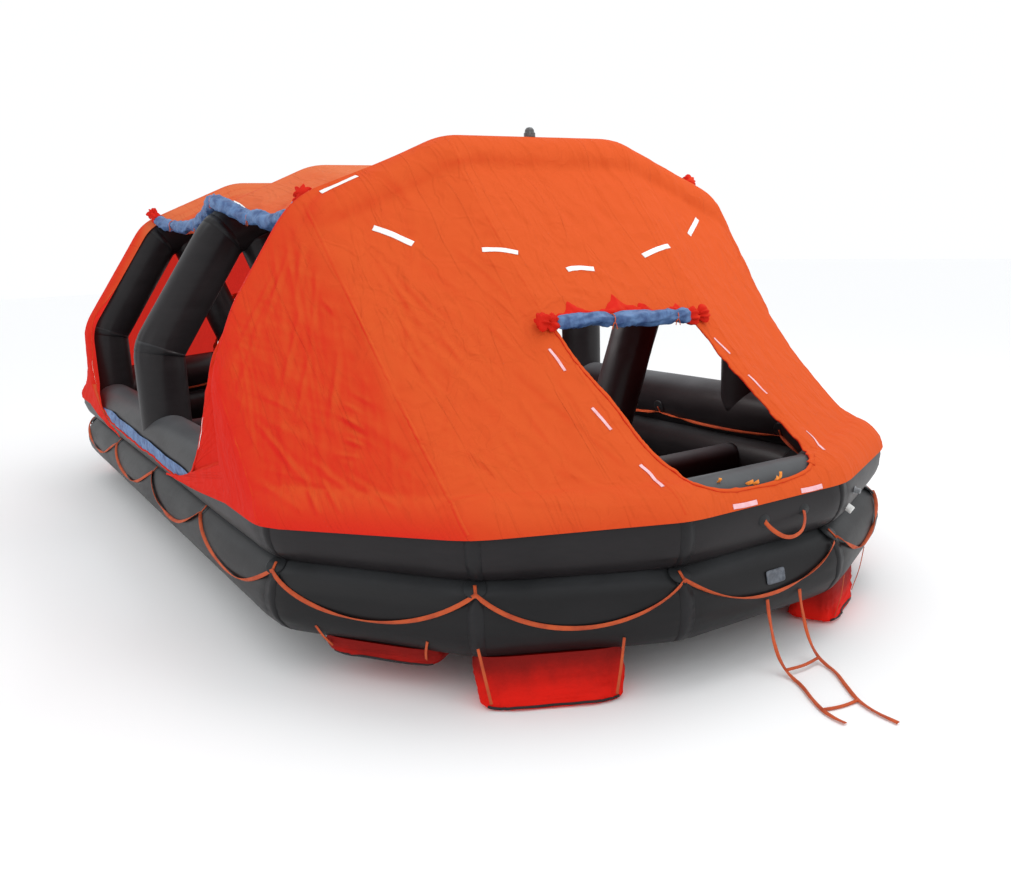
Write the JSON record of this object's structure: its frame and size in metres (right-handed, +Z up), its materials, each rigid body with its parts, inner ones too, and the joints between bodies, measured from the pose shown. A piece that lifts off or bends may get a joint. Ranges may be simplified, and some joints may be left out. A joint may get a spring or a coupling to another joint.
{
  "type": "inflatable life raft",
  "caption": "Long self-righting inflatable life raft: two stacked buoyancy tubes, arch tubes, orange canopy with open sides and end entrances, lifelines and a boarding ladder.",
  "frame": {"origin": "centre of the raft's footprint, on the floor that it stands on", "axes": "+X along the raft towards the end with the boarding ladder, +Y across it, +Z up"},
  "size_m": [11.2936, 5.3318, 3.5259],
  "materials": {
    "tube_rubber": "matt charcoal coated fabric with glued seams",
    "floor_rubber": "matt black coated fabric",
    "canopy_cloth": "coated orange cloth, creased, slight sheen",
    "curtain_cloth": "rolled blue coated cloth",
    "pocket_cloth": "bright red coated cloth",
    "webbing": "woven orange webbing",
    "cylinder_paint": "grey painted steel",
    "valve_plastic": "grey and white plastic",
    "lamp_plastic": "white translucent plastic",
    "plate_plastic": "grey plastic"
  },
  "bodies": {
    "root": {"lower_tube": "tube_rubber", "upper_tube": "tube_rubber", "arch_far": "tube_rubber", "arch_mid": "tube_rubber", "arch_near": "tube_rubber", "thwart_far": "tube_rubber", "thwart_mid": "tube_rubber", "thwart_near": "tube_rubber", "strut_far_left": "tube_rubber", "strut_far_right": "tube_rubber", "strut_mid_left": "tube_rubber", "strut_mid_right": "tube_rubber", "strut_near_left": "tube_rubber", "strut_near_right": "tube_rubber", "floor": "floor_rubber", "canopy_near_left": "canopy_cloth", "canopy_near_centre": "canopy_cloth", "canopy_near_right": "canopy_cloth", "canopy_far_left": "canopy_cloth", "canopy_far_centre": "canopy_cloth", "canopy_far_right": "canopy_cloth", "roof_near": "canopy_cloth", "roof_far": "canopy_cloth", "entrance_roll_near": "curtain_cloth", "entrance_roll_far": "curtain_cloth", "side_roll_left": "curtain_cloth", "side_roll_right": "curtain_cloth", "side_flap_left": "curtain_cloth", "side_flap_right": "curtain_cloth", "lifeline_outer": "webbing", "lifeline_inner": "webbing", "handle_near": "webbing", "handle_far": "webbing", "cylinder_band_near_left": "webbing", "cylinder_band_near_right": "webbing", "cylinder_band_far_left": "webbing", "cylinder_band_far_right": "webbing", "ladder_strap_left": "webbing", "ladder_strap_right": "webbing", "ladder_rung_1": "webbing", "ladder_rung_2": "webbing", "pocket_near_left": "pocket_cloth", "pocket_near_right": "pocket_cloth", "pocket_far_left": "pocket_cloth", "pocket_far_right": "pocket_cloth", "pocket_side_near_left": "pocket_cloth", "pocket_side_near_right": "pocket_cloth", "pocket_side_far_left": "pocket_cloth", "pocket_side_far_right": "pocket_cloth", "gas_cylinder_near": "cylinder_paint", "gas_cylinder_far": "cylinder_paint", "inflation_valve_near": "valve_plastic", "inflation_valve_far": "valve_plastic", "relief_valve_near": "valve_plastic", "relief_valve_far": "valve_plastic", "canopy_light": "lamp_plastic", "end_plate": "plate_plastic"}
  },
  "joints": []
}
